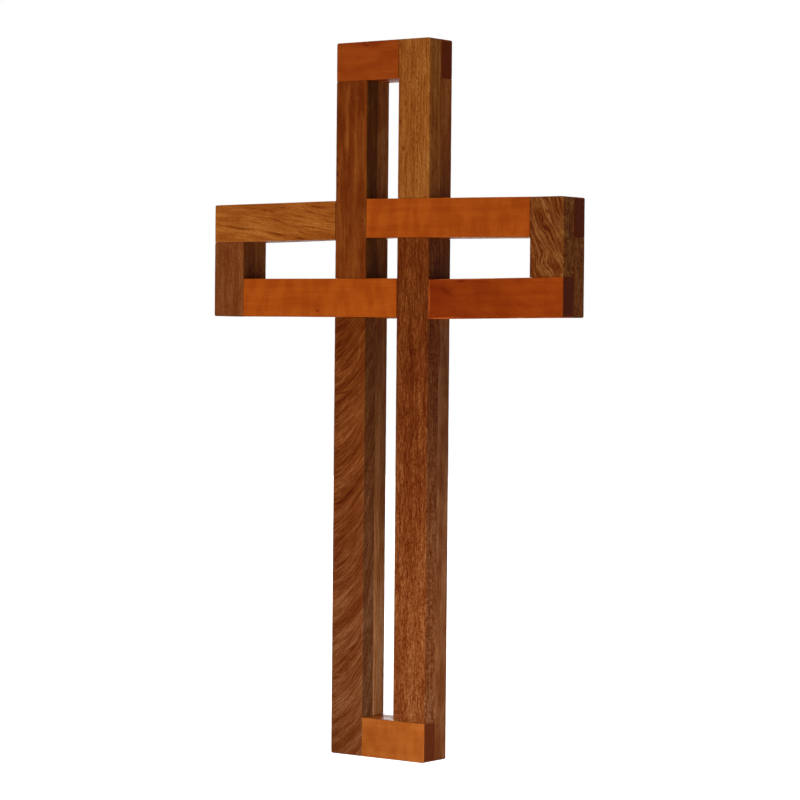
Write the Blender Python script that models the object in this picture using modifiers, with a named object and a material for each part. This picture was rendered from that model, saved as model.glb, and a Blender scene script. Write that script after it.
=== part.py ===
"""A wooden wall cross, laminated from two layers of flat hardwood strips.

Metres, +Z up. The cross faces -Y and its flat back lies in the plane y = 0, against the wall. The origin is
on that back, at the middle of the top crosspiece, which is what bears on the nail it hangs from.

Each layer is twelve strips, butt-joined end grain to long side, so that every strip runs past one neighbour
and stops at the next. The back layer is the front one turned over left to right, and so each joint has a
whole strip behind it. Left and right are as seen from the front.
"""

import math

import bpy

# Driving sizes
HEIGHT = 0.460
SPAN = 0.279
STRIP_WIDTH = 0.025
STRIP_DEPTH = 0.0117
SHAFT_GAP = 0.025  # opening between the two uprights
ARM_GAP = 0.025  # opening between the two strips of an arm
ARM_DROP = 0.1025  # from the top of the cross down to the top of the arms
GLUE_GAP = 0.0003  # clearance at each glued face
EDGE_EASE = 0.0005  # how far a sawn edge is rubbed back
CORNER_EASE = 0.0012  # the same at the corners of the whole outline
EASE_SEGMENTS = 2

# How the arm strips were glued out of true: rise at the centre line, and tilt in degrees. The back layer's
# are given as they lay before it was turned over, with the sides that its strips had then.
TRUE = (0.0, 0.0)
FRONT_LIE = {
    "left_arm_upper": (0.0010, 0.39),
    "right_arm_upper": (0.00145, -0.68),
    "left_arm_lower": (0.0004, -0.23),
    "right_arm_lower": (-0.0009, 0.56),
}
BACK_LIE = {
    "left_arm_upper": (0.0012, 0.50),
    "right_arm_upper": (0.00185, -0.85),
    "left_arm_lower": (-0.0001, -0.27),
    "right_arm_lower": (0.0009, 0.0),
}

# Upright lines, outwards from the centre line
SHAFT_INNER = SHAFT_GAP / 2
SHAFT_OUTER = SHAFT_INNER + STRIP_WIDTH
TIP_OUTER = SPAN / 2
TIP_INNER = TIP_OUTER - STRIP_WIDTH

# Level lines, from the top down
TOP = STRIP_WIDTH / 2
TOP_UNDERSIDE = TOP - STRIP_WIDTH
ARM_TOP = TOP - ARM_DROP
ARM_GAP_TOP = ARM_TOP - STRIP_WIDTH
ARM_GAP_BOTTOM = ARM_GAP_TOP - ARM_GAP
ARM_BOTTOM = ARM_GAP_BOTTOM - STRIP_WIDTH
BOTTOM = TOP - HEIGHT
FOOT_TOP = BOTTOM + STRIP_WIDTH

# The corner of a strip that is a corner of the whole outline: its side (-1 left) and its level (-1 lower)
OUTLINE_CORNERS = {
    "top_crosspiece": (-1, 1),
    "right_upright_upper": (1, 1),
    "left_arm_upper": (-1, 1),
    "right_end": (1, 1),
    "right_arm_lower": (1, -1),
    "left_end": (-1, -1),
    "left_upright_lower": (-1, -1),
    "bottom_crosspiece": (1, -1),
}

# Base colours of the oiled woods, linear
WOODS = {
    "orange": (0.36, 0.085, 0.012),
    "red_orange": (0.30, 0.055, 0.009),
    "golden": (0.30, 0.115, 0.024),
    "amber": (0.25, 0.085, 0.015),
    "red_brown": (0.17, 0.045, 0.011),
    "brown": (0.15, 0.045, 0.014),
    "walnut_brown": (0.11, 0.040, 0.014),
}
WOOD_ROUGHNESS = 0.5

FRONT_WOODS = {
    "top_crosspiece": "red_orange",
    "right_upright_upper": "amber",
    "left_upright_upper": "red_brown",
    "left_arm_upper": "golden",
    "right_arm_upper": "orange",
    "right_end": "walnut_brown",
    "right_arm_lower": "red_orange",
    "right_upright_lower": "brown",
    "left_arm_lower": "orange",
    "left_end": "walnut_brown",
    "left_upright_lower": "brown",
    "bottom_crosspiece": "orange",
}
BACK_WOODS = {
    "top_crosspiece": "orange",
    "right_upright_upper": "brown",
    "left_upright_upper": "red_brown",
    "left_arm_upper": "orange",
    "right_arm_upper": "red_orange",
    "right_end": "brown",
    "right_arm_lower": "orange",
    "right_upright_lower": "red_brown",
    "left_arm_lower": "golden",
    "left_end": "walnut_brown",
    "left_upright_lower": "brown",
    "bottom_crosspiece": "red_orange",
}


def edge(height, lie=TRUE):
    """Returns a strip's lower or upper edge, as a height for each x."""
    rise, tilt = lie
    slope = math.tan(math.radians(tilt))
    return lambda x: height + rise + slope * x


def layer_outlines(lie):
    """Returns the left, right, lower and upper edges of the front layer's twelve strips.

    An end that is glued to a neighbour's long side stops short of it by the clearance, and follows it where
    that neighbour lies out of true.
    """
    left_upper = lie.get("left_arm_upper", TRUE)
    right_upper = lie.get("right_arm_upper", TRUE)
    left_lower = lie.get("left_arm_lower", TRUE)
    right_lower = lie.get("right_arm_lower", TRUE)
    return {
        "top_crosspiece": (-SHAFT_OUTER, SHAFT_INNER - GLUE_GAP, edge(TOP_UNDERSIDE), edge(TOP)),
        "right_upright_upper": (SHAFT_INNER, SHAFT_OUTER, edge(ARM_TOP + GLUE_GAP, right_upper), edge(TOP)),
        "left_upright_upper": (
            -SHAFT_OUTER,
            -SHAFT_INNER,
            edge(ARM_GAP_BOTTOM + GLUE_GAP, left_lower),
            edge(TOP_UNDERSIDE - GLUE_GAP),
        ),
        "left_arm_upper": (
            -TIP_OUTER,
            -SHAFT_OUTER - GLUE_GAP,
            edge(ARM_GAP_TOP, left_upper),
            edge(ARM_TOP, left_upper),
        ),
        "right_arm_upper": (
            -SHAFT_INNER + GLUE_GAP,
            TIP_INNER - GLUE_GAP,
            edge(ARM_GAP_TOP, right_upper),
            edge(ARM_TOP, right_upper),
        ),
        "right_end": (TIP_INNER, TIP_OUTER, edge(ARM_GAP_BOTTOM + GLUE_GAP, right_lower), edge(ARM_TOP)),
        "right_arm_lower": (
            SHAFT_OUTER + GLUE_GAP,
            TIP_OUTER,
            edge(ARM_BOTTOM, right_lower),
            edge(ARM_GAP_BOTTOM, right_lower),
        ),
        "right_upright_lower": (
            SHAFT_INNER,
            SHAFT_OUTER,
            edge(FOOT_TOP + GLUE_GAP),
            edge(ARM_GAP_TOP - GLUE_GAP, right_upper),
        ),
        "left_arm_lower": (
            -TIP_INNER + GLUE_GAP,
            SHAFT_INNER - GLUE_GAP,
            edge(ARM_BOTTOM, left_lower),
            edge(ARM_GAP_BOTTOM, left_lower),
        ),
        "left_end": (
            -TIP_OUTER,
            -TIP_INNER,
            edge(ARM_BOTTOM, left_lower),
            edge(ARM_GAP_TOP - GLUE_GAP, left_upper),
        ),
        "left_upright_lower": (
            -SHAFT_OUTER,
            -SHAFT_INNER,
            edge(BOTTOM),
            edge(ARM_BOTTOM - GLUE_GAP, left_lower),
        ),
        "bottom_crosspiece": (-SHAFT_INNER + GLUE_GAP, SHAFT_OUTER, edge(BOTTOM), edge(FOOT_TOP)),
    }


def turned_over(outline):
    """Mirrors an outline left to right."""
    left, right, lower, upper = outline
    return -right, -left, lambda x: lower(-x), lambda x: upper(-x)


def other_side(name):
    """Swaps left and right in a strip's name."""
    side, _, rest = name.partition("_")
    return {"left": "right", "right": "left"}.get(side, side) + "_" + rest


def wood_material(name, colour):
    """Makes an oiled wood of one colour."""
    material = bpy.data.materials.new(name)
    material.use_nodes = True
    shader = material.node_tree.nodes["Principled BSDF"]
    shader.inputs["Base Color"].default_value = (*colour, 1.0)
    shader.inputs["Roughness"].default_value = WOOD_ROUGHNESS
    shader.inputs["Metallic"].default_value = 0.0
    return material


def ease_edges(strip, outline_corner):
    """Rounds a two-unit cube's edges a little, and the one on the outline's corner more."""
    width = max(EDGE_EASE, CORNER_EASE)
    mesh = strip.data
    weights = mesh.attributes.new("bevel_weight_edge", "FLOAT", "EDGE")
    for cube_edge in mesh.edges:
        ends = {(mesh.vertices[i].co.x, mesh.vertices[i].co.z) for i in cube_edge.vertices}
        ease = CORNER_EASE if ends == {outline_corner} else EDGE_EASE
        weights.data[cube_edge.index].value = ease / width
    bevel = strip.modifiers.new("Eased edges", "BEVEL")
    bevel.limit_method = "WEIGHT"
    bevel.width = width
    bevel.segments = EASE_SEGMENTS


def make_strip(name, outline, outline_corner, middle_y, colour):
    """Makes one strip from its outline, with its own origin at its centre."""
    left, right, lower, upper = outline
    middle_x = (left + right) / 2
    middle_z = (lower(middle_x) + upper(middle_x)) / 2
    bpy.ops.mesh.primitive_cube_add(size=2, location=(middle_x, middle_y, middle_z))
    strip = bpy.context.object
    strip.name = name
    strip.data.name = name
    ease_edges(strip, outline_corner)
    for vertex in strip.data.vertices:
        side, face, level = vertex.co
        x = left if side < 0 else right
        z = lower(x) if level < 0 else upper(x)
        vertex.co = (x - middle_x, face * STRIP_DEPTH / 2, z - middle_z)
    strip.data.materials.append(wood_material(name + "_wood", colour))
    return strip


def make_layer(prefix, outlines, corners, middle_y, woods):
    """Makes the twelve strips of one layer."""
    strips = []
    for name, outline in outlines.items():
        colour = WOODS[woods[name]]
        strips.append(make_strip(prefix + name, outline, corners.get(name), middle_y, colour))
    return strips


def main():
    for old in list(bpy.context.scene.objects):
        bpy.data.objects.remove(old, do_unlink=True)

    back_y = -STRIP_DEPTH / 2
    front_y = back_y - STRIP_DEPTH - GLUE_GAP
    front = layer_outlines(FRONT_LIE)
    back = {other_side(name): turned_over(outline) for name, outline in layer_outlines(BACK_LIE).items()}
    back_corners = {other_side(name): (-side, level) for name, (side, level) in OUTLINE_CORNERS.items()}
    strips = make_layer("front_", front, OUTLINE_CORNERS, front_y, FRONT_WOODS)
    strips += make_layer("back_", back, back_corners, back_y, BACK_WOODS)

    cross = bpy.data.collections.new("wooden_cross")
    bpy.context.scene.collection.children.link(cross)
    hanging_point = bpy.data.objects.new("hanging_point", None)
    cross.objects.link(hanging_point)
    for strip in strips:
        for collection in list(strip.users_collection):
            collection.objects.unlink(strip)
        cross.objects.link(strip)
        strip.parent = hanging_point


main()
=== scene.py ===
"""Looks of the wooden wall cross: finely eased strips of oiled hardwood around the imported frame.

Metres in the meshes, millimetres in the grain's own coordinates. The cross faces -Y and its back is y = 0.
"""

import math

import bmesh
import bpy
from mathutils import Matrix, Vector, noise


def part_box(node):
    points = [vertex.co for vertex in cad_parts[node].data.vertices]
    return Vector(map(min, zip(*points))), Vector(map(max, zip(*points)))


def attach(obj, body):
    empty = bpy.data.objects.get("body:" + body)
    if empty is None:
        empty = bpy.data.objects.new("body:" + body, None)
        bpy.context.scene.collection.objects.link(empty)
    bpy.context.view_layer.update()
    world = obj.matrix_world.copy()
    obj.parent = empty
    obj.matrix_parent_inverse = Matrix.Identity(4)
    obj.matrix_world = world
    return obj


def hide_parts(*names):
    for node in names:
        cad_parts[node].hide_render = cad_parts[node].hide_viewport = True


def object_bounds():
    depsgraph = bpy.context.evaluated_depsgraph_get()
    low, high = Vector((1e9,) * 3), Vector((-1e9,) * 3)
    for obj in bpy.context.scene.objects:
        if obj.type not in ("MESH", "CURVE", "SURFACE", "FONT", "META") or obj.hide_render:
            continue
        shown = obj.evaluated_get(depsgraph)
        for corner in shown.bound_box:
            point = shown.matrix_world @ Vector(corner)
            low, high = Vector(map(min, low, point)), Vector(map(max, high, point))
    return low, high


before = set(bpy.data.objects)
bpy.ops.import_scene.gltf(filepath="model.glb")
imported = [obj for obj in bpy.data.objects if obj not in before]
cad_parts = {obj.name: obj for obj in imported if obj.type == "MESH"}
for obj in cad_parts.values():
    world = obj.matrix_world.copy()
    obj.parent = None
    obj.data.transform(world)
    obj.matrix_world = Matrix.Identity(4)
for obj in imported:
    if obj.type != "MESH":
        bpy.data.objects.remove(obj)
cad_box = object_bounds()

MILLIMETRES = 1000  # in a metre

# The photograph's camera, fitted to the edges of the cross
CAMERA_PLACE = (1.1234, -1.5116, -0.1811)
CAMERA_YAW = math.radians(36.66)
CAMERA_PITCH = math.radians(-1.115)
CAMERA_ROLL = math.radians(0.523)
CAMERA_LENS = 130.98
SENSOR_WIDTH = 36.0
CAMERA_REACH = 60.0

# How the strips meet
GLUE_GAP = 0.0003  # the clearance between glued strips in the frame
GLUE_LINE = 0.00004  # what is left of it here
NEIGHBOUR_REACH = 0.0006  # how far past the clearance a neighbour is looked for
CORNER_PROBE = 0.003  # how far in from a corner its neighbours are looked for
LEVEL_NORMAL = 0.9  # the least upward part of a level face's normal
ON_FACE = 1e-5  # how near a face a point is taken to lie on it

# How finely the strips are cut, and how round their edges are
LEAST_SLICES = 4
SLICE_LENGTH = 0.0025
SLICES_ACROSS = 8
SLICES_THROUGH = 4
EDGE_RADIUS = 0.00045
JOINT_RADIUS = 0.00022
CORNER_RADIUS = 0.0017
RADIUS_SEGMENTS = 4

# Wear: sanded faces that swell a little, and small nicks along the rubbed edges
FACE_SWELL = 0.00005
SWELL_SCALE = 45.0
NICK_DEPTH = 0.00016
NICK_SCALE = 230.0
FINE_NICK_SCALE = 700.0
FINE_NICK_SHARE = 0.6
NICK_BIAS = 0.1  # above 0, more than half of an edge is nicked
FLATNESS_POWER = 4
RUB_GAIN = 1.5  # how soon the rubbing is full on the way round an edge

# Floor
FLOOR_DROP = 1.0  # how far it lies below the foot of the hanging cross
FLOOR_REACH = 26.0
FLOOR_SIDES = 96
FLOOR_COLOUR = (0.85, 0.85, 0.84)
FLOOR_ROUGHNESS = 0.9
FLOOR_NEAR_GLOW = 0.05  # its own glow under the cross
FLOOR_FAR_GLOW = 1.0  # its own glow far off, where it runs into the white surround
FLOOR_FADE = (4.0, 6.5)

# Light
AMBIENT = 0.03
AMBIENT_COLOUR = (1.0, 0.98, 0.95)
SHEEN = 0.02  # how strongly the oiled wood mirrors the white backdrop
BACKDROP_SPREAD = 0.3  # the backdrop's sheen starts where a direction's Y is 0, and is full where it is this
KEY_STRENGTH = 1.83
KEY_FROM = (-0.165, -0.937, 0.309)
TOP_STRENGTH = 0.63
TOP_FROM = (0.34, -0.06, 0.94)
BACK_STRENGTH = 1.6
BACK_FROM = (-0.60, 0.80, 0.03)
SUN_WIDTH = math.radians(30)
LOW_FILL_POWER = 0.40
LOW_FILL_FROM = (0.16, -0.16, -0.372)
LOW_FILL_SIZE = 0.12

# A mixing node's two colour inputs, and its colour output
MIX_COLOURS = (6, 7)
MIX_RESULT = 2


class Graph:
    """Short ways to add and join the nodes of a material or of the world."""

    def __init__(self, owner):
        self.nodes = owner.node_tree.nodes
        self.links = owner.node_tree.links

    def feed(self, socket, value):
        if isinstance(value, bpy.types.NodeSocket):
            self.links.new(value, socket)
        elif socket.type == "RGBA":
            socket.default_value = (*value, 1.0)
        else:
            socket.default_value = value

    def add(self, kind, inputs, output=0, **settings):
        node = self.nodes.new(kind)
        for key, value in settings.items():
            setattr(node, key, value)
        for key, value in inputs.items():
            self.feed(node.inputs[key], value)
        return node.outputs[output]

    def attribute(self, name, output):
        return self.add("ShaderNodeAttribute", {}, output, attribute_name=name)

    def math(self, operation, a, b):
        return self.add("ShaderNodeMath", {0: a, 1: b}, operation=operation)

    def vector(self, operation, a, b):
        return self.add("ShaderNodeVectorMath", {0: a, 1: b}, operation=operation)

    def noise(self, place, scale, detail=2.0, rough=0.5):
        stretched = self.vector("MULTIPLY", place, scale)
        inputs = {"Vector": stretched, "Scale": 1.0, "Detail": detail, "Roughness": rough}
        return self.add("ShaderNodeTexNoise", inputs, "Fac")

    def between(self, value, low, high, to_low=0.0, to_high=1.0):
        inputs = {"Value": value, "From Min": low, "From Max": high, "To Min": to_low, "To Max": to_high}
        return self.add("ShaderNodeMapRange", inputs, interpolation_type="SMOOTHSTEP")

    def mix(self, factor, a, b, blend="MIX"):
        inputs = {0: factor, MIX_COLOURS[0]: a, MIX_COLOURS[1]: b}
        return self.add("ShaderNodeMix", inputs, MIX_RESULT, data_type="RGBA", blend_type=blend)

    def tint(self, colour, factors):
        """A colour times another colour, or times a number that changes over the surface."""
        return self.mix(1.0, colour, factors, "MULTIPLY")

    def part(self, vector, axis):
        return self.add("ShaderNodeSeparateXYZ", {0: vector}, axis)

    def shifted(self, vector, axis, amount):
        return self.vector("ADD", vector, self.add("ShaderNodeCombineXYZ", {axis: amount}))

    def turned(self, vector, degrees):
        """A place seen along a line that leaves the first axis by so many degrees, towards the second."""
        inputs = {"Vector": vector, "Angle": math.radians(-degrees)}
        return self.add("ShaderNodeVectorRotate", inputs, rotation_type="Z_AXIS")


ALONG, ACROSS, THROUGH = "X", "Y", "Z"  # the grain's own axes
WHITE = (1.0, 1.0, 1.0)
SHADE_SPEEDS = (1.0, 1.75, 3.0)  # green and blue change faster than red, as they do in oiled wood
TONE_RANGE = (0.36, 0.64)  # the noise values that are fully dark and fully light

# Grain. A scale is per millimetre, along, across and through the strip, and a range is the noise values
# where something begins to show and where it shows fully.
STRIP_WIDTH = 25.0  # in millimetres
FRESH_GRAIN = (317.0, 91.0, 53.0)  # how far apart two strips' grain lies in the noise
WANDER_ACROSS = 2.5  # how much faster the straying changes across the grain than along it
WANDER_GAIN = 4  # from the noise's usual reach, a quarter each way, to the whole
SPOT_DETAIL = 1.5
SPOT_RIM = 0.12  # how much noise there is between where a spot begins and where it is full
OVAL_DEPTH = 20.0  # half the depth of a mark
MARK_RIM = (1.0, 0.2)  # where a mark begins and where it is full, as shares of its size
FRESH_RUNGS = (17.0, 23.0, 29.0)
RUNG_SCALE = (0.8, 0.14, 0.14)
RUNG_RANGE = (0.5, 0.66)
RUNG_PATCH_SCALE = (0.02, 0.09, 0.2)
RUNG_PATCH_RANGE = (0.44, 0.58)
END_PORE_SCALE = (0.4, 2.2, 2.2)
END_PORE_ROUGHNESS = 0.7
END_PORE_RANGE = (0.35, 0.65)
END_PORE_CHANGE = 0.2
# Patches of the edges' shade, which is rubbed wear and a painted highlight
RUB_AND_HIGHLIGHT_SCALE = (0.12, 0.5, 0.5)
RUB_AND_HIGHLIGHT_RANGE = (0.3, 0.6)

# Finish
POLISH_SCALE = (0.03, 0.1, 0.1)
POLISH_RANGE = (0.3, 0.7)
ROUGHNESS_RANGE = (0.36, 0.50)
PORE_ROUGHNESS = 0.08  # how much rougher an open pore is
FIBRE_RELIEF = 0.5
PORE_RELIEF = 2
BUMP_STRENGTH = 0.35
BUMP_DEPTH = 0.00012


def shade(colour, change):
    """A lighter or darker shade of a colour, by the change in its red."""
    return tuple(channel * (1 + change) ** speed for channel, speed in zip(colour, SHADE_SPEEDS))


PALE_LIT_FOOT = (0.94, 1.08, 1.5)  # the uprights get paler and greyer towards the foot: partly the wood, partly painted light and sheen from below
SHADED_DEEP_TOP = (1.0, 0.86, 0.55)  # and redder towards the arms: partly the wood, partly painted shade at the crossing

# What each wood looks like, as changes to this plain one. Lengths are in millimetres, colours linear.
PLAIN = {
    "colour": (0.17, 0.042, 0.005),
    "fade": None,  # tints of the strip's low or left end, and of its other end
    "slant": 0.0,  # how far the grain runs off the strip's length, in degrees
    "bow": 0.0,  # how fast the grain curves up across the strip
    "dip": 0.0,  # how much the grain drops with depth
    "swirl": None,  # a point that the grain bends around: along, across, reach and push
    "wander": 1.5,  # how far grain lines stray sideways
    "wander_length": 60.0,
    # Layers of grain: length, width, and change of shade both ways
    "clouds": (22.0, 9.0, 0.075),
    "bands": (130.0, 4.0, 0.125),
    "fibres": (14.0, 0.45, 0.108),
    "grit": (1.8, 0.7, 0.07),
    # Long spots in the grain: length, width, the noise level above which one shows, and change of shade
    "streaks": None,
    "flecks": (5.0, 0.7, 0.58, -0.1),
    "crowding": 0.0,  # if below 0, the spots get shorter towards the strip's low end
    "ladder": 0.0,  # shade of the short marks across the narrow sides
    "edge_wear_and_highlight": 0.15,  # shade of the edges: rubbed wear, and a painted highlight where the eased edges catch the light
    # the narrow sides' tint: the colour of their own grain, with painted shade and sheen for how they are
    # lit
    "side_grain_and_shade_tint": (1.0, 1.15, 1.4),
    "end_tint": (0.37, 0.265, 0.3),
    "marks": (),  # single marks: along, across, half length, half width, degrees, change of shade
}

ORANGE = {
    "colour": (0.358, 0.0638, 0.004),
    "wander": 0.6,
    "clouds": (8.0, 18.0, 0.075),
    "bands": (110.0, 4.0, 0.044),
    "fibres": (20.0, 0.5, 0.041),
    "grit": (1.2, 0.8, 0.028),
    "flecks": (7.0, 0.5, 0.60, -0.04),
    "edge_wear_and_highlight": 0.25,
    "side_grain_and_shade_tint": (1.0, 1.0, 1.0),
}
RED_ORANGE = {
    **ORANGE,
    "colour": (0.27, 0.038, 0.0015),
    "clouds": (14.0, 10.0, 0.075),
    "end_tint": (0.39, 0.35, 0.3),
}
GOLDEN = {
    "colour": (0.335, 0.092, 0.0108),
    "slant": -8.0,
    "wander": 1.6,
    "clouds": (30.0, 8.0, 0.105),
    "bands": (90.0, 3.0, 0.088),
    "fibres": (16.0, 0.5, 0.135),
    "streaks": (18.0, 0.55, 0.62, -0.35),
    "flecks": (5.0, 0.5, 0.60, -0.2),
}
AMBER = {
    "colour": (0.287, 0.083, 0.0108),
    "wander": 0.9,
    "bands": (130.0, 2.6, 0.12),
    "fibres": (12.0, 0.55, 0.165),
    "grit": (2.0, 0.8, 0.1),
    "flecks": (3.5, 0.9, 0.60, -0.3),
    "side_grain_and_shade_tint": (1.2, 1.38, 1.7),
}
RED_BROWN = {
    "colour": (0.178, 0.0355, 0.0033),
    "wander": 1.2,
    "clouds": (20.0, 6.0, 0.15),
    "bands": (130.0, 4.5, 0.125),
    "fibres": (16.0, 0.6, 0.095),
    "flecks": (8.0, 0.8, 0.58, -0.12),
}
FLECKED = {
    "colour": (0.171, 0.0412, 0.0062),
    "wander": 1.8,
    "wander_length": 24.0,
    "clouds": (24.0, 8.0, 0.075),
    "bands": (90.0, 3.2, 0.112),
    "fibres": (9.0, 0.6, 0.135),
    "grit": (1.6, 0.8, 0.18),
    "streaks": (10.0, 1.3, 0.50, -0.2),
    "flecks": (3.4, 0.8, 0.50, -0.28),
    "crowding": -0.002,
    "ladder": -0.25,
    "side_grain_and_shade_tint": (1.1, 1.25, 1.6),
}
STREAKED = {
    "colour": (0.297, 0.086, 0.0142),
    "wander": 0.8,
    "bands": (130.0, 2.4, 0.175),
    "fibres": (22.0, 0.7, 0.162),
    "side_grain_and_shade_tint": (1.1, 1.25, 1.6),
}
FIGURED = {
    "colour": (0.151, 0.0358, 0.0058),
    "slant": 66.0,
    "bow": 0.019,
    "dip": 2.2,
    "wander": 2.6,
    "wander_length": 45.0,
    "clouds": (34.0, 12.0, 0.12),
    "bands": (70.0, 5.0, 0.15),
    "fibres": (11.0, 0.9, 0.216),
    "grit": (2.0, 0.7, 0.112),
    "flecks": (7.0, 0.7, 0.56, -0.18),
    "side_grain_and_shade_tint": (1.0, 1.22, 1.45),
}
SWIRLED = {
    "colour": (0.179, 0.043, 0.0052),
    "slant": -28.0,
    "swirl": (-18.0, -5.0, 14.0, 7.0),
    "wander": 2.6,
    "wander_length": 20.0,
    "clouds": (16.0, 8.0, 0.12),
    "bands": (40.0, 3.4, 0.175),
    "fibres": (15.0, 1.1, 0.351),
    "grit": (2.0, 0.7, 0.14),
    "side_grain_and_shade_tint": (1.05, 1.1, 0.85),
}
SOFT_BROWN = {
    "colour": (0.181, 0.045, 0.0083),
    "wander": 0.8,
    "bands": (110.0, 3.4, 0.112),
    "fibres": (7.0, 0.6, 0.108),
    "grit": (1.3, 0.9, 0.098),
}

# Marks that come in rows: half length, half width, degrees, change of shade
SMALL_KNOT = (1.8, 1.0, 0.0, -0.3)
FAINT_TICK = (0.8, 2.8, 0.0, -0.1)
KNOT_OFF_ALONG = (1.0, 7.3)  # how far knots lie off their places, and the turn of that from one to the next
KNOT_OFF_ACROSS = (0.6, 3.1)


def places_in_row(first, last, step):
    return [first + step * i for i in range(int((last - first) / step))]


def knots_in_line(across, first, last, step):
    """Small dark knots one above the other, a little off a straight line."""
    (reach_along, turn_along), (reach_across, turn_across) = KNOT_OFF_ALONG, KNOT_OFF_ACROSS
    knots = []
    for i, along in enumerate(places_in_row(first, last, step)):
        off_along = reach_along * math.sin(turn_along * i)
        off_across = reach_across * math.sin(turn_across * i)
        knots.append((along + off_along, across + off_across, *SMALL_KNOT))
    return knots


def ticks_in_row(across, first, last, step):
    """Faint short marks across the grain, side by side."""
    return [(along, across, *FAINT_TICK) for along in places_in_row(first, last, step)]


TOP_CROSSPIECE_MARKS = (
    (0.0, 11.5, 26.0, 4.5, 0.0, -0.14),
    (-1.9, 10.2, 4.7, 1.2, -14.0, -0.41),
    (16.0, 7.5, 7.0, 0.6, -2.0, -0.2),
    (15.0, 5.0, 6.0, 0.6, -3.0, -0.14),
)
RIGHT_UPRIGHT_UPPER_MARKS = (
    (9.7, -6.8, 3.0, 1.92, 0.0, -0.32),
    (-2.1, -11.0, 2.6, 1.8, 0.0, -0.46),
    (-18.6, -8.2, 3.0, 1.92, 0.0, -0.34),
    (0.0, 8.6, 70.0, 0.9, 0.0, 0.27),
    (0.0, 12.8, 80.0, 1.8, 0.0, -0.23),
    *knots_in_line(2.7, -40.0, 48.0, 4.1),
)
LEFT_UPRIGHT_UPPER_MARKS = (
    (26.0, -3.6, 38.0, 2.16, 0.0, 0.23),
    (26.0, 3.2, 38.0, 1.8, 0.0, 0.17),
    (-39.0, -4.9, 24.0, 0.9, 0.0, 0.3),
    (21.0, -11.4, 2.6, 1.44, 0.0, -0.23),
    (13.0, -11.2, 3.2, 1.68, 0.0, -0.4),
    (4.0, -11.4, 3.4, 1.92, 0.0, -0.46),
    (-3.0, -11.4, 3.2, 1.8, 0.0, -0.46),
    (-26.7, 9.6, 1.8, 1.68, 0.0, -0.34),
)
LEFT_ARM_UPPER_MARKS = (
    (-30.2, -3.5, 20.5, 0.83, -6.4, -0.54),
    (2.2, -7.9, 13.0, 0.83, -9.8, -0.54),
    (21.0, -11.0, 7.0, 0.75, -8.7, -0.54),
    (1.6, 1.2, 14.0, 0.75, -13.2, -0.47),
    (32.2, -3.9, 18.0, 0.75, -6.8, -0.47),
    (-8.5, 7.8, 3.6, 0.75, -15.0, -0.47),
    (-2.0, 7.0, 3.4, 0.75, -15.0, -0.47),
    (7.0, 9.5, 5.0, 0.6, -8.0, -0.41),
    (30.0, 6.0, 8.0, 0.9, -14.0, -0.47),
    (42.0, 3.5, 7.0, 0.75, -12.0, -0.41),
    (23.0, -7.0, 5.5, 0.9, -28.0, -0.41),
    (35.6, 8.0, 8.0, 4.0, -10.0, -0.15),
)
RIGHT_ARM_LOWER_MARKS = (
    (-36.9, 4.3, 8.0, 2.16, -28.8, -0.29),
    (-26.0, 10.8, 6.0, 1.68, 0.0, -0.34),
    (-10.6, -7.9, 10.5, 0.75, -13.0, -0.16),
    (-48.0, 0.0, 22.0, 16.0, 0.0, -0.16),
    # Painted highlights: the pale rims where its eased left end and its upper and lower edges catch the
    # light
    (-50.8, 0.0, 1.7, 18.0, 0.0, 1.0),
    (-24.0, 12.5, 32.0, 1.5, 0.0, 0.8),
    (-38.0, -12.5, 18.0, 1.2, 0.0, 0.7),
)
LEFT_ARM_LOWER_MARKS = ((-0.6, -8.5, 1.9, 1.4, 0.0, -0.5),)
RIGHT_END_MARKS = ((19.0, -9.0, 5.5, 3.4, 12.0, 0.25),)
LEFT_UPRIGHT_LOWER_MARKS = (
    # The dark corner under the arm, and the light grain that curves down beside it
    (130.0, -4.0, 20.0, 13.0, 0.0, -0.2),
    (121.0, 8.0, 20.0, 1.5, 8.0, 0.27),
    (106.0, -7.5, 11.0, 3.6, 62.0, 0.3),
    (108.5, -3.4, 8.5, 1.05, 60.0, -0.41),
    (93.0, -4.0, 8.5, 1.05, 78.0, -0.41),
    (92.8, 1.3, 12.5, 2.64, 62.0, -0.25),
    (77.0, 0.6, 13.5, 1.35, 65.0, 0.27),
    # The bold dark lines that rise to the right, each steeper as it goes
    (21.9, -7.3, 7.5, 1.44, 59.0, -0.4),
    (28.8, 1.4, 8.5, 1.56, 45.0, -0.44),
    (37.8, 9.1, 8.0, 1.44, 36.0, -0.4),
    (-17.5, -5.0, 9.0, 1.44, 50.0, -0.4),
    (-20.5, -6.0, 8.5, 1.05, 53.0, 0.27),
    (-5.5, 4.5, 10.0, 1.44, 35.0, -0.34),
    (-79.0, -2.0, 7.5, 2.4, 48.0, -0.34),
    (-71.5, 5.0, 8.5, 2.4, 41.0, -0.4),
    (-63.5, 10.5, 6.5, 1.92, 30.0, -0.44),
    (-91.6, -8.0, 5.0, 1.35, 76.0, -0.38),
)

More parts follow.
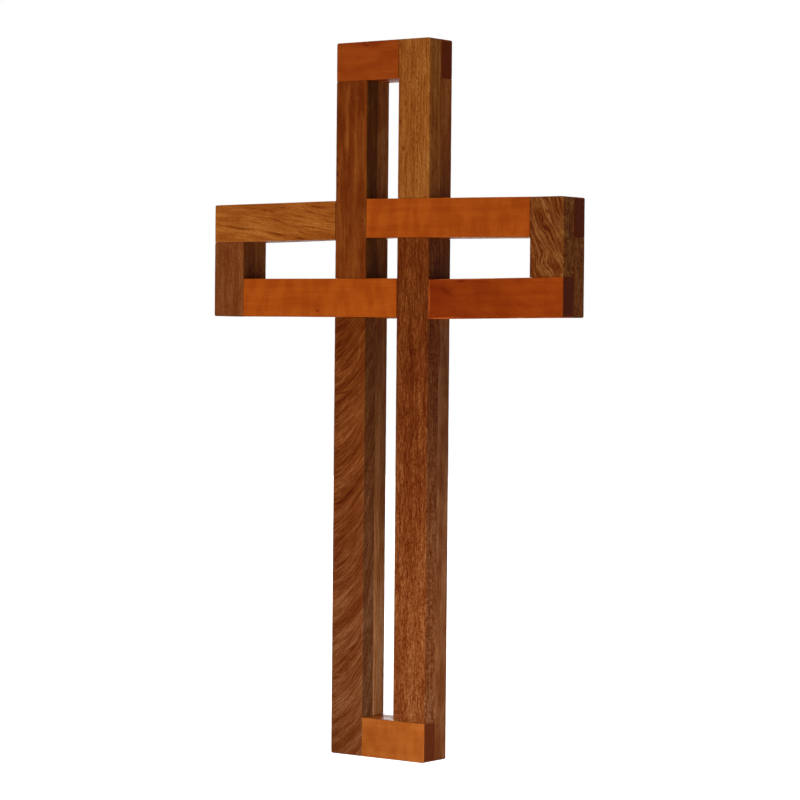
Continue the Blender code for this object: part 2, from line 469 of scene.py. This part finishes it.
# Wood and what is particular to each strip
STRIPS = {
    "front_top_crosspiece": (RED_ORANGE, {"colour": (0.277, 0.045, 0.0034), "marks": TOP_CROSSPIECE_MARKS}),
    "front_right_upright_upper": (AMBER, {"marks": RIGHT_UPRIGHT_UPPER_MARKS}),
    "front_left_upright_upper": (
        RED_BROWN,
        # its narrow sides darkened: painted shade on its inner side, in the slot between the uprights
        {"side_grain_and_shade_tint": (0.76, 1.03, 0.75), "marks": LEFT_UPRIGHT_UPPER_MARKS},
    ),
    "front_left_arm_upper": (GOLDEN, {"marks": LEFT_ARM_UPPER_MARKS}),
    "front_right_arm_upper": (ORANGE, {"marks": ticks_in_row(-7.3, 3.0, 60.0, 3.3)}),
    "front_right_end": (SWIRLED, {"marks": RIGHT_END_MARKS}),
    "front_right_arm_lower": (
        RED_ORANGE,
        {
            "colour": (0.265, 0.0345, 0.0017),
            "fade": ((0.86, 0.8, 1.0), (1.12, 1.25, 1.3)),
            # a strong painted highlight on its eased edges, on top of their wear
            "edge_wear_and_highlight": 0.8,
            "marks": RIGHT_ARM_LOWER_MARKS,
        },
    ),
    # paler and greyer at its foot, deeper at its top: partly the wood, partly painted light from below and
    # painted shade at the crossing
    "front_right_upright_lower": (FLECKED, {"fade": ((1.08, 1.25, 1.8), (0.92, 0.78, 0.55))}),
    "front_left_arm_lower": (ORANGE, {"colour": (0.367, 0.0655, 0.0039), "marks": LEFT_ARM_LOWER_MARKS}),
    "front_left_end": (SOFT_BROWN, {"side_grain_and_shade_tint": (0.86, 0.8, 0.6)}),
    "front_left_upright_lower": (
        FIGURED,
        {"fade": (PALE_LIT_FOOT, SHADED_DEEP_TOP), "marks": LEFT_UPRIGHT_LOWER_MARKS},
    ),
    "front_bottom_crosspiece": (ORANGE, {"colour": (0.283, 0.0705, 0.0092)}),
    "back_top_crosspiece": (ORANGE, {}),
    "back_right_upright_upper": (
        SOFT_BROWN,
        {"colour": (0.24, 0.052, 0.0062), "fade": ((0.66, 0.6, 0.6), (1.12, 1.15, 1.2))},
    ),
    "back_left_upright_upper": (RED_BROWN, {"colour": (0.31, 0.088, 0.014)}),
    "back_left_arm_upper": (ORANGE, {}),
    "back_right_arm_upper": (RED_ORANGE, {}),
    "back_right_end": (FLECKED, {"colour": (0.205, 0.05, 0.006)}),
    "back_right_arm_lower": (ORANGE, {}),
    "back_right_upright_lower": (RED_BROWN, {"colour": (0.19, 0.05, 0.0103)}),
    "back_left_arm_lower": (GOLDEN, {}),
    "back_left_end": (SOFT_BROWN, {"colour": (0.258, 0.065, 0.009)}),
    # much darker at its top: painted shade where its inner side runs into the crossing
    "back_left_upright_lower": (STREAKED, {"fade": (PALE_LIT_FOOT, (0.56, 0.44, 0.26))}),
    "back_bottom_crosspiece": (RED_ORANGE, {}),
}


def times(number, vector):
    return tuple(number * value for value in vector)


def shaded(g, colour, tone, low, high):
    """A colour in the shade low where tone is 0, and in the shade high where it is 1."""
    return g.tint(colour, g.mix(tone, shade(WHITE, low), shade(WHITE, high)))


def distance_from(g, own, along, across, half_length, half_width, degrees):
    """How far each point is from the middle of an oval, where 1 is on its outline."""
    from_middle = g.turned(g.vector("SUBTRACT", own, (along, across, 0.0)), degrees)
    oval = g.vector("MULTIPLY", from_middle, (1 / half_length, 1 / half_width, 1 / OVAL_DEPTH))
    return g.add("ShaderNodeVectorMath", {0: oval}, "Value", operation="LENGTH")


def grain_space(g, own, look, seed):
    """Turns the strip's own place so that grain runs along the first axis, and moves it to fresh noise."""
    bent = own
    if look["bow"]:
        from_left = g.math("ADD", g.part(own, ACROSS), STRIP_WIDTH / 2)
        bent = g.shifted(own, ALONG, g.math("MULTIPLY", g.math("POWER", from_left, 2.0), -look["bow"]))
    if look["swirl"]:
        along, across, reach, push = look["swirl"]
        distance = distance_from(g, own, along, across, reach, reach, 0.0)
        bent = g.shifted(bent, ACROSS, g.between(distance, 1.0, 0.0, 0.0, push))
    turned = g.turned(bent, look["slant"])
    dipped = g.shifted(turned, ACROSS, g.math("MULTIPLY", g.part(own, THROUGH), look["dip"]))
    place = g.vector("ADD", dipped, times(seed, FRESH_GRAIN))
    scale = 1.0 / look["wander_length"]
    sway = g.noise(place, (scale, scale * WANDER_ACROSS, scale * WANDER_ACROSS), detail=1.0)
    centred = g.math("SUBTRACT", sway, 0.5)
    return g.shifted(place, ACROSS, g.math("MULTIPLY", centred, WANDER_GAIN * look["wander"]))


def layered(g, colour, grain, layer):
    """One layer of grain, lighter and darker than the colour. Gives the new colour, and the layer alone."""
    length, width, change = layer
    tone = g.noise(grain, (1 / length, 1 / width, 1 / width))
    return shaded(g, colour, g.between(tone, *TONE_RANGE), -change, change), tone


def spotted(g, colour, grain, spots):
    """Long spots in the grain: pores, flecks or streaks. Gives the new colour, and where the spots are."""
    length, width, level, change = spots
    tone = g.noise(grain, (1 / length, 1 / width, 1 / width), SPOT_DETAIL)
    shown = g.between(tone, level, level + SPOT_RIM)
    return shaded(g, colour, shown, 0.0, change), shown


def faded(g, colour, own, half_length, fade):
    """A slow change of tint from the strip's first end to its last."""
    return g.tint(colour, g.mix(g.between(g.part(own, ALONG), -half_length, half_length), *fade))


def laddered(g, colour, own, seed, change):
    """Short marks across the grain of the narrow sides, in patches."""
    place = g.vector("ADD", own, times(seed, FRESH_RUNGS))
    rungs = g.between(g.noise(place, RUNG_SCALE, detail=1.0), *RUNG_RANGE)
    patches = g.between(g.noise(place, RUNG_PATCH_SCALE, detail=1.0), *RUNG_PATCH_RANGE)
    shown = g.math("MULTIPLY", g.math("MULTIPLY", rungs, patches), g.attribute("side", "Fac"))
    return shaded(g, colour, shown, 0.0, change)


def marked(g, colour, own, marks):
    """Single soft ovals of another shade: small knots, stains, lone lines and a few painted highlights."""
    for *oval, change in marks:
        colour = shaded(g, colour, g.between(distance_from(g, own, *oval), *MARK_RIM), 0.0, change)
    return colour


def wood_material(name, look, seed, half_length):
    """One strip's wood, from its look. The mesh says where in the strip each point is, and on what face."""
    material = bpy.data.materials.new(name)
    material.use_nodes = True
    g = Graph(material)
    own = g.attribute("grain", "Vector")
    grain = grain_space(g, own, look, seed)
    colour, fibres = layered(g, look["colour"], grain, look["fibres"])
    for layer in ("clouds", "bands", "grit"):
        colour, _ = layered(g, colour, grain, look[layer])
    along = g.part(own, ALONG)
    crowded = g.shifted(grain, ALONG, g.math("MULTIPLY", g.math("MULTIPLY", along, along), look["crowding"]))
    if look["streaks"]:
        colour, _ = spotted(g, colour, crowded, look["streaks"])
    colour, pores = spotted(g, colour, crowded, look["flecks"])
    if look["fade"]:
        colour = faded(g, colour, own, half_length, look["fade"])
    if look["ladder"]:
        colour = laddered(g, colour, own, seed, look["ladder"])
    colour = marked(g, colour, own, look["marks"])

    # Narrow sides, tinted for their own grain and with painted shade and sheen, and end grain dotted with
    # cut pores
    colour = g.mix(g.attribute("side", "Fac"), colour, g.tint(colour, look["side_grain_and_shade_tint"]))
    dots = g.between(g.noise(grain, END_PORE_SCALE, rough=END_PORE_ROUGHNESS), *END_PORE_RANGE)
    end_colour = tuple(channel * tint for channel, tint in zip(look["colour"], look["end_tint"]))
    end = g.mix(dots, shade(end_colour, END_PORE_CHANGE), shade(end_colour, -END_PORE_CHANGE))
    colour = g.mix(g.attribute("end", "Fac"), colour, end)

    # Edges made another shade in places: rubbed wear, and a painted highlight where the eased edges catch
    # the light
    patchy = g.between(g.noise(own, RUB_AND_HIGHLIGHT_SCALE), *RUB_AND_HIGHLIGHT_RANGE)
    rubbing_and_highlight = g.math("MULTIPLY", g.attribute("wear", "Fac"), patchy)
    colour = shaded(g, colour, rubbing_and_highlight, 0.0, look["edge_wear_and_highlight"])

    shader = g.nodes["Principled BSDF"].inputs
    g.feed(shader["Base Color"], colour)
    polish = g.between(g.noise(grain, POLISH_SCALE), *POLISH_RANGE, *ROUGHNESS_RANGE)
    g.feed(shader["Roughness"], g.math("ADD", polish, g.math("MULTIPLY", pores, PORE_ROUGHNESS)))
    g.feed(shader["Specular IOR Level"], SHEEN)
    pore_depth = -look["flecks"][-1] * PORE_RELIEF
    raised, sunk = g.math("MULTIPLY", fibres, FIBRE_RELIEF), g.math("MULTIPLY", pores, pore_depth)
    bump = {"Height": g.math("SUBTRACT", raised, sunk), "Strength": BUMP_STRENGTH, "Distance": BUMP_DEPTH}
    g.feed(shader["Normal"], g.add("ShaderNodeBump", bump, "Normal"))
    return material


def long_edge(mesh, sign):
    """The line of a CAD strip's upper (sign 1) or lower (-1) long face, as a height for each x."""
    mesh.calc_loop_triangles()
    level = [t for t in mesh.loop_triangles if t.normal.z * sign > LEVEL_NORMAL]
    widest = max(level, key=lambda t: t.area)
    corners = sorted((mesh.vertices[i].co for i in widest.vertices), key=lambda co: co.x)
    first, last = corners[0], corners[-1]
    slope = (last.z - first.z) / (last.x - first.x)
    return lambda x: first.z + slope * (x - first.x)


def is_upright(name):
    return "upright" in name or "_end" in name


def layer_of(name):
    return name.split("_")[0]


def covered(layer, x, z):
    """True if some strip of the layer lies at this point of the front."""
    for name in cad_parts:
        low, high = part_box(name)
        if layer_of(name) == layer and low.x <= x <= high.x and low.z <= z <= high.z:
            return True
    return False


def strip_faces(name):
    """Which of a strip's ends are glued to a neighbour, and which of its corners are the outline's."""
    low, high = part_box(name)
    layer = layer_of(name)
    middle = (low + high) / 2
    beyond = NEIGHBOUR_REACH + GLUE_GAP
    glued = {
        "left": covered(layer, low.x - beyond, middle.z) and not is_upright(name),
        "right": covered(layer, high.x + beyond, middle.z) and not is_upright(name),
        "lower": covered(layer, middle.x, low.z - beyond) and is_upright(name),
        "upper": covered(layer, middle.x, high.z + beyond) and is_upright(name),
    }
    corners = set()
    for side, x, inward_x in (("left", low.x, 1), ("right", high.x, -1)):
        for level, z, inward_z in (("lower", low.z, 1), ("upper", high.z, -1)):
            beside = covered(layer, x - inward_x * beyond, z + inward_z * CORNER_PROBE)
            above = covered(layer, x + inward_x * CORNER_PROBE, z - inward_z * beyond)
            if not beside and not above:
                corners.add((side, level))
    return glued, corners


def lattice(counts):
    """A unit box cut into counts cells along x, y and z."""
    bm = bmesh.new()
    bmesh.ops.create_cube(bm, size=1.0, matrix=Matrix.Translation((0.5, 0.5, 0.5)))
    for axis, count in enumerate(counts):
        parallel = [e for e in bm.edges if abs(e.verts[0].co[axis] - e.verts[1].co[axis]) > 0.5]
        bmesh.ops.subdivide_edges(bm, edges=parallel, cuts=count - 1)
    return bm


def edge_radius(edge, glued, corners):
    """How round a lattice edge is made: 0 inside a face, else by what it borders."""
    a, b = (vertex.co for vertex in edge.verts)
    sides = []
    for axis, names in ((0, ("left", "right")), (1, ("front", "back")), (2, ("lower", "upper"))):
        for value, side in enumerate(names):
            if abs(a[axis] - value) < ON_FACE and abs(b[axis] - value) < ON_FACE:
                sides.append(side)
    if len(sides) < 2:
        return 0.0
    if tuple(sides) in corners:
        return CORNER_RADIUS
    if any(glued.get(side) for side in sides):
        return JOINT_RADIUS
    return EDGE_RADIUS


def cut_strip(name):
    """A sharp-edged strip cut into cells, drawn out to its neighbours where it is glued, and its middle."""
    low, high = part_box(name)
    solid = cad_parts[name].data
    lower, upper = long_edge(solid, -1), long_edge(solid, 1)
    glued, corners = strip_faces(name)
    closing = GLUE_GAP - GLUE_LINE
    left = low.x - closing * glued["left"]
    right = high.x + closing * glued["right"]
    front = low.y - (layer_of(name) == "back") * closing / 2
    back = high.y + (layer_of(name) == "front") * closing / 2

    size = high - low
    upright = is_upright(name)
    slices = max(LEAST_SLICES, round((size.z if upright else size.x) / SLICE_LENGTH))
    counts = (SLICES_ACROSS, SLICES_THROUGH, slices) if upright else (slices, SLICES_THROUGH, SLICES_ACROSS)
    bm = lattice(counts)
    weights = bm.edges.layers.float.new("bevel_weight_edge")
    for edge in bm.edges:
        edge[weights] = edge_radius(edge, glued, corners) / CORNER_RADIUS
    for vertex in bm.verts:
        u, v, w = vertex.co
        x = left + u * (right - left)
        bottom = lower(x) - closing * glued["lower"]
        top = upper(x) + closing * glued["upper"]
        vertex.co = (x, front + v * (back - front), bottom + w * (top - bottom))
    rough = bpy.data.meshes.new(name + "_rough")
    bm.to_mesh(rough)
    bm.free()
    middle_x = (left + right) / 2
    middle_z = (lower(middle_x) + upper(middle_x)) / 2
    return rough, Vector((middle_x, (front + back) / 2, middle_z))


def rounded(rough):
    """A copy of the mesh with rounded edges, in its place."""
    blank = bpy.data.objects.new(rough.name, rough)
    bpy.context.scene.collection.objects.link(blank)
    bevel = blank.modifiers.new("Rounding", "BEVEL")
    bevel.limit_method = "WEIGHT"
    bevel.width = CORNER_RADIUS
    bevel.segments = RADIUS_SEGMENTS
    mesh = bpy.data.meshes.new_from_object(blank.evaluated_get(bpy.context.evaluated_depsgraph_get()))
    bpy.data.objects.remove(blank)
    bpy.data.meshes.remove(rough)
    return mesh


def wear_depth(place, rubbed):
    """How far wear has taken the surface down at a place that is rubbed so much."""
    swell = 0.5 + 0.5 * noise.noise(place * SWELL_SCALE)
    fine = FINE_NICK_SHARE * noise.noise(place * FINE_NICK_SCALE)
    nick = max(0.0, noise.noise(place * NICK_SCALE) + fine + NICK_BIAS)
    return FACE_SWELL * swell + NICK_DEPTH * nick * rubbed


def strip_mesh(name):
    """One strip's fine mesh, with its place in the grain, its kind of face and its wear as attributes."""
    rough, middle = cut_strip(name)
    mesh = rounded(rough)
    mesh.name = name
    upright = is_upright(name)
    facts = {"grain": [], "wear": [], "side": [], "end": []}
    moves = []
    for vertex in mesh.vertices:
        normal = vertex.normal
        x, y, z = (vertex.co - middle) * MILLIMETRES
        facts["grain"] += (z, x, y) if upright else (x, z, y)
        along, across = (normal.z, normal.x) if upright else (normal.x, normal.z)
        facts["side"].append(across ** 2)
        facts["end"].append(along ** 2)
        flatness = max(abs(normal.x), abs(normal.y), abs(normal.z)) ** FLATNESS_POWER
        rubbed = min(1.0, RUB_GAIN * (1.0 - flatness))
        facts["wear"].append(rubbed)
        moves.append(normal * wear_depth(vertex.co, rubbed))
    for vertex, move in zip(mesh.vertices, moves):
        vertex.co -= move
    for fact, values in facts.items():
        is_place = fact == "grain"
        mesh.attributes.new(fact, "FLOAT_VECTOR" if is_place else "FLOAT", "POINT")
        mesh.attributes[fact].data.foreach_set("vector" if is_place else "value", values)
    mesh.shade_smooth()
    return mesh


def make_strip(name, seed):
    """One strip: its mesh, its wood, and its place in the frame."""
    wood, own = STRIPS[name]
    mesh = strip_mesh(name)
    low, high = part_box(name)
    half_length = max(high - low) * MILLIMETRES / 2
    mesh.materials.append(wood_material(name + "_wood", {**PLAIN, **wood, **own}, seed, half_length))
    strip = bpy.data.objects.new("strip_" + name, mesh)
    bpy.context.scene.collection.objects.link(strip)
    flat = strip.modifiers.new("Flat faces", "WEIGHTED_NORMAL")
    flat.keep_sharp = False
    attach(strip, "root")
    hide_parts(name)


def make_floor():
    """A plain pale floor well below the cross, which hangs clear of it."""
    bm = bmesh.new()
    place = Matrix.Translation((0, 0, cad_box[0].z - FLOOR_DROP))
    bmesh.ops.create_circle(bm, cap_ends=True, segments=FLOOR_SIDES, radius=FLOOR_REACH, matrix=place)
    mesh = bpy.data.meshes.new("floor")
    bm.to_mesh(mesh)
    bm.free()
    floor = bpy.data.objects.new("floor", mesh)
    bpy.context.scene.collection.objects.link(floor)
    pale = bpy.data.materials.new("floor_paint")
    pale.use_nodes = True
    g = Graph(pale)
    paint = g.nodes["Principled BSDF"].inputs
    g.feed(paint["Base Color"], FLOOR_COLOUR)
    g.feed(paint["Roughness"], FLOOR_ROUGHNESS)
    point = g.add("ShaderNodeTexCoord", {}, "Object")
    distance = g.add("ShaderNodeVectorMath", {0: point}, "Value", operation="LENGTH")
    g.feed(paint["Emission Color"], WHITE)
    g.feed(paint["Emission Strength"], g.between(distance, *FLOOR_FADE, FLOOR_NEAR_GLOW, FLOOR_FAR_GLOW))
    mesh.materials.append(pale)


def make_world():
    """A white surround, which lights the cross faintly and gives it a sheen from the backdrop behind."""
    world = bpy.data.worlds.new("studio")
    bpy.context.scene.world = world
    world.use_nodes = True
    g = Graph(world)
    faint = g.add("ShaderNodeBackground", {"Color": AMBIENT_COLOUR, "Strength": AMBIENT})
    white = g.add("ShaderNodeBackground", {"Color": WHITE, "Strength": 1.0})
    ray = g.nodes.new("ShaderNodeLightPath").outputs
    direction = g.add("ShaderNodeTexCoord", {}, "Generated")
    behind = g.between(g.part(direction, "Y"), 0.0, BACKDROP_SPREAD)
    bright = g.math("MAXIMUM", ray["Is Camera Ray"], g.math("MULTIPLY", ray["Is Glossy Ray"], behind))
    surround = g.add("ShaderNodeMixShader", {0: bright, 1: faint, 2: white})
    g.feed(g.nodes["World Output"].inputs["Surface"], surround)


def make_light(name, kind, energy, place, aim, **settings):
    """A white lamp at place that points at aim."""
    lamp = bpy.data.lights.new(name, kind)
    lamp.energy = energy
    for key, value in settings.items():
        setattr(lamp, key, value)
    holder = bpy.data.objects.new(name, lamp)
    bpy.context.scene.collection.objects.link(holder)
    holder.location = place
    holder.rotation_euler = (Vector(aim) - Vector(place)).to_track_quat("-Z", "Y").to_euler()
    return holder


def make_camera():
    """The photograph's viewpoint."""
    yaw, pitch = CAMERA_YAW, CAMERA_PITCH
    forward = Vector((-math.sin(yaw) * math.cos(pitch), math.cos(yaw) * math.cos(pitch), math.sin(pitch)))
    level = Vector((math.cos(yaw), math.sin(yaw), 0.0))
    upward = level.cross(forward)
    right = level * math.cos(CAMERA_ROLL) + upward * math.sin(CAMERA_ROLL)
    up = upward * math.cos(CAMERA_ROLL) - level * math.sin(CAMERA_ROLL)
    lens = bpy.data.cameras.new("camera")
    lens.lens = CAMERA_LENS
    lens.sensor_width = SENSOR_WIDTH
    lens.clip_end = CAMERA_REACH
    camera = bpy.data.objects.new("camera", lens)
    bpy.context.scene.collection.objects.link(camera)
    turn = Matrix((right, up, -forward)).transposed().to_4x4()
    camera.matrix_world = Matrix.Translation(CAMERA_PLACE) @ turn
    bpy.context.scene.camera = camera


for seed, strip_name in enumerate(STRIPS, start=1):
    make_strip(strip_name, seed)
make_floor()
make_world()
make_camera()
cross_middle = (cad_box[0] + cad_box[1]) / 2
for sun, strength, direction in (
    ("key", KEY_STRENGTH, KEY_FROM),
    ("top_light", TOP_STRENGTH, TOP_FROM),
    ("back_light", BACK_STRENGTH, BACK_FROM),
):
    make_light(sun, "SUN", strength, cross_middle + Vector(direction), cross_middle, angle=SUN_WIDTH)
foot = (0.0, 0.0, cad_box[0].z)
low_fill = make_light(
    "low_fill", "AREA", LOW_FILL_POWER, LOW_FILL_FROM, foot, size=LOW_FILL_SIZE, shape="DISK"
)
low_fill.visible_camera = False
bpy.context.scene.view_settings.view_transform = "Standard"
